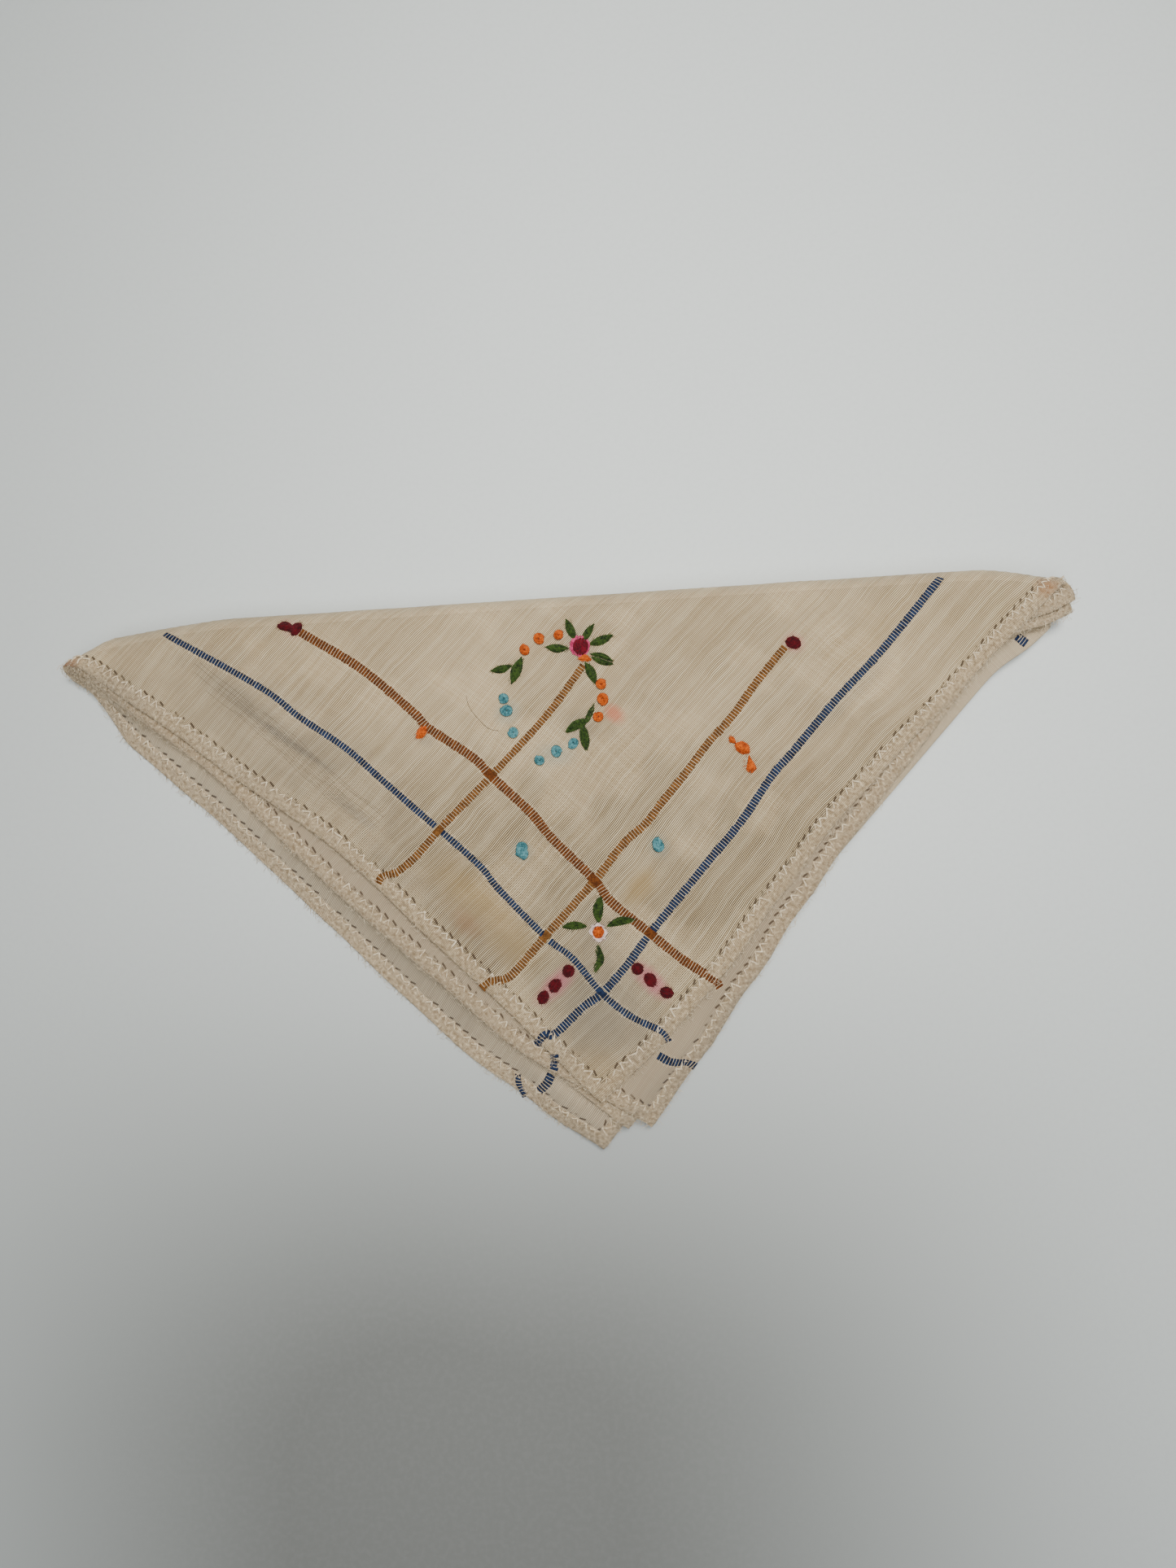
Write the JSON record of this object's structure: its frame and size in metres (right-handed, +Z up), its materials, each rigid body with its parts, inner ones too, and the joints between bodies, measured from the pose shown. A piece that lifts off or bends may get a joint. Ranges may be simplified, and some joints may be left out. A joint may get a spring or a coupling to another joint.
{
  "type": "folded linen handkerchief",
  "caption": "Square linen handkerchief with a stitched hem, woven coloured stripes and embroidered flowers, folded into quarters and then across into a triangle.",
  "frame": {"origin": "middle of the folded outline, on the surface that it lies on", "axes": "+X along the long corner fold to the right tip, +Z up through the layers; the loose corners point to -Y"},
  "size_m": [0.2044, 0.1116, 0.0118],
  "materials": {
    "linen": "matt, fine plain weave"
  },
  "bodies": {
    "root": {"handkerchief": "linen"}
  },
  "joints": []
}
